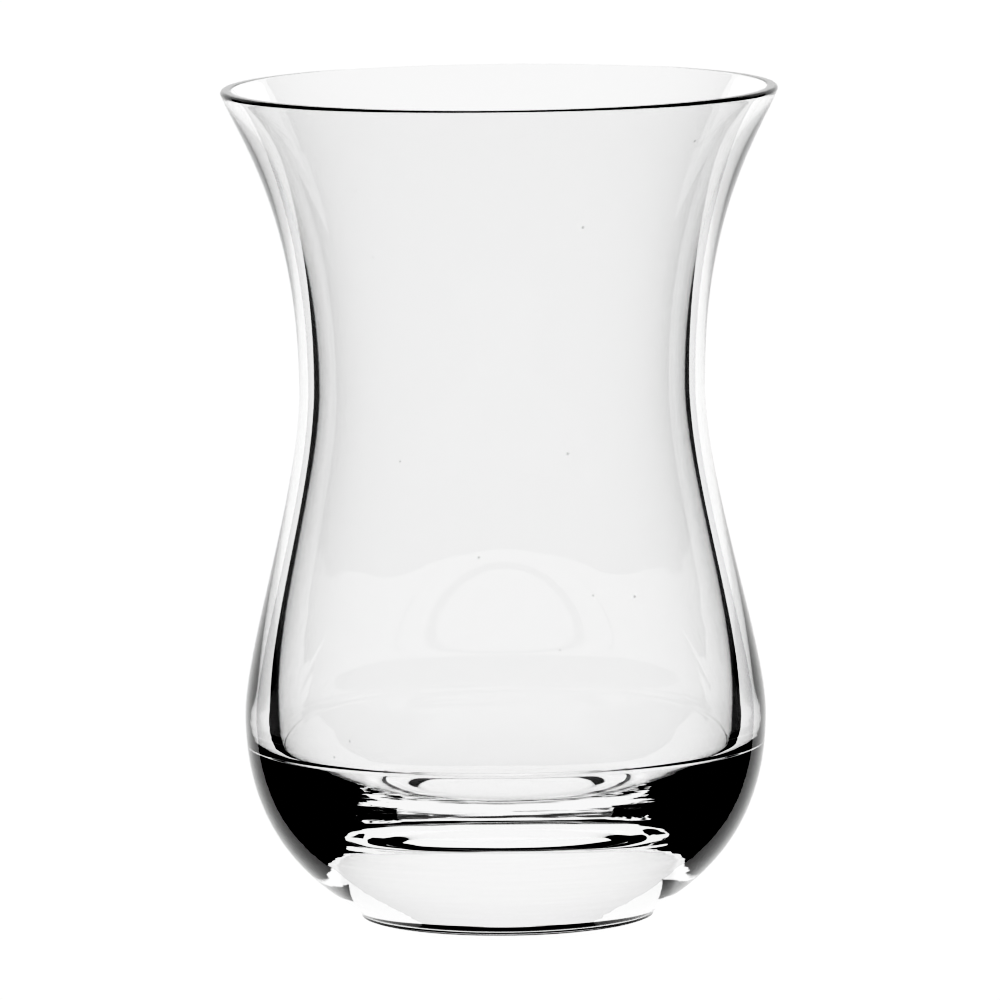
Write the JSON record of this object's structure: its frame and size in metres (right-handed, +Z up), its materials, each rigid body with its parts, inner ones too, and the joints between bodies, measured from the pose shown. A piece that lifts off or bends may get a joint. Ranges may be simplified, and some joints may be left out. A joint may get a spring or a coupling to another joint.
{
  "type": "turkish tea glass",
  "caption": "Empty clear tea glass with a flared lip, a narrow waist, a round belly and a thick solid base, for serving hot tea.",
  "frame": {"origin": "middle of the foot ring, on the surface that the glass stands on", "axes": "+Z up along the axis of the glass, towards the mouth; X and Y are alike because the glass is round"},
  "size_m": [0.0594, 0.0594, 0.09],
  "materials": {
    "glass": "clear, fire polished"
  },
  "bodies": {
    "root": {"glass": "glass"}
  },
  "joints": []
}
